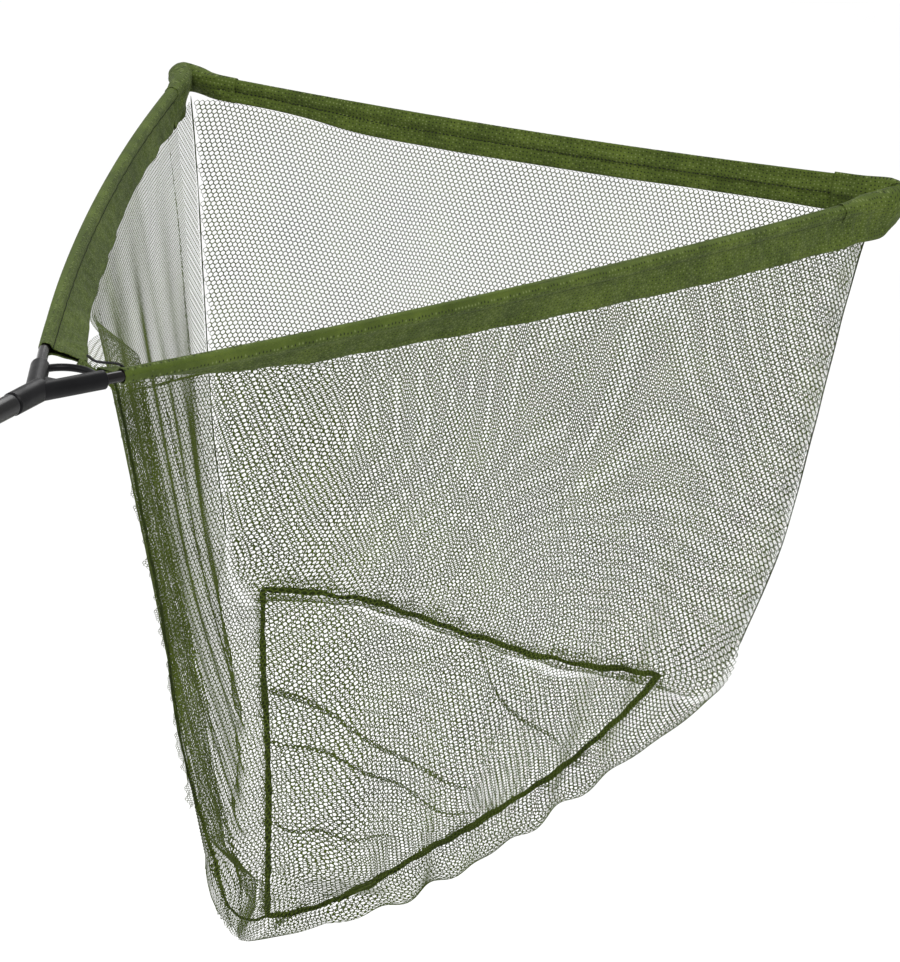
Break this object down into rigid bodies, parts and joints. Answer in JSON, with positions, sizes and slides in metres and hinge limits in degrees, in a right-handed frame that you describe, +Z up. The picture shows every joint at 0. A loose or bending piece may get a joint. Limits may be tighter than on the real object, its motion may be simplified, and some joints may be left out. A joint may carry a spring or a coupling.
{
  "type": "landing net",
  "caption": "Triangular carp landing net: long handle, screw-on spreader block, two bowed arms, bow cord and a deep mesh bag with a flat triangular base.",
  "frame": {"origin": "middle of the foam grip, on the handle's axis; the part is held there", "axes": "+X along the handle from the grip towards the net's front cord, +Z up, square to the net's mouth, +Y to the left arm's side"},
  "size_m": [2.8674, 0.8392, 0.7053],
  "materials": {
    "handle_tube": "satin dark glass-fibre tube",
    "grip_foam": "matte closed-cell foam",
    "black_rubber": "matte moulded rubber",
    "brass_thread": "turned brass",
    "insert_alloy": "black anodised alloy",
    "block_nylon": "satin moulded charcoal nylon",
    "arm_glass": "gloss dark brown-black glass fibre",
    "cord_nylon": "braided nylon cord",
    "sleeve_fabric": "knitted olive-green airtex fabric",
    "net_mesh": "dark olive knitted netting",
    "seam_mesh": "gathered olive netting, overlocked",
    "black_elastic": "black braided elastic"
  },
  "bodies": {
    "handle": {"handle_tube": "handle_tube", "handle_grip": "grip_foam", "butt_cap": "black_rubber", "thread_insert": "insert_alloy"},
    "head": {"lock_ring": "black_rubber", "thread_stud": "brass_thread", "spreader_block": "block_nylon"},
    "arm_right": {"arm_right": "arm_glass", "arm_tip_right": "block_nylon", "cord_knot_right": "cord_nylon", "sleeve_right": "sleeve_fabric", "corner_pocket_right": "sleeve_fabric", "net_panel_right": "net_mesh", "corner_seam_right": "seam_mesh", "base_seam_right": "seam_mesh", "bow_cord": "cord_nylon", "sleeve_front": "sleeve_fabric", "net_panel_front": "net_mesh", "net_base": "net_mesh", "throat_seam": "seam_mesh", "base_seam_front": "seam_mesh", "throat_strap": "sleeve_fabric", "throat_tie": "black_elastic"},
    "arm_left": {"arm_left": "arm_glass", "arm_tip_left": "block_nylon", "cord_knot_left": "cord_nylon", "sleeve_left": "sleeve_fabric", "corner_pocket_left": "sleeve_fabric", "net_panel_left": "net_mesh", "corner_seam_left": "seam_mesh", "base_seam_left": "seam_mesh"}
  },
  "joints": [
    {"name": "head_turn", "type": "hinge", "parent": "handle", "child": "head", "pos_m": [1.6445, 0, 0], "axis": [1, 0, 0], "continuous": true},
    {"name": "arm_right_pull", "type": "slide", "parent": "head", "child": "arm_right", "axis": [0.8988, -0.4384, 0], "range_m": [0, 0.045]},
    {"name": "arm_left_spread", "type": "slide", "parent": "arm_right", "child": "arm_left", "axis": [0, 1, 0], "range_m": [0, 0.0395]}
  ],
  "couplings": [
    {"joint": "arm_left_spread", "follows": "arm_right_pull", "ratio": 0.87674}
  ]
}
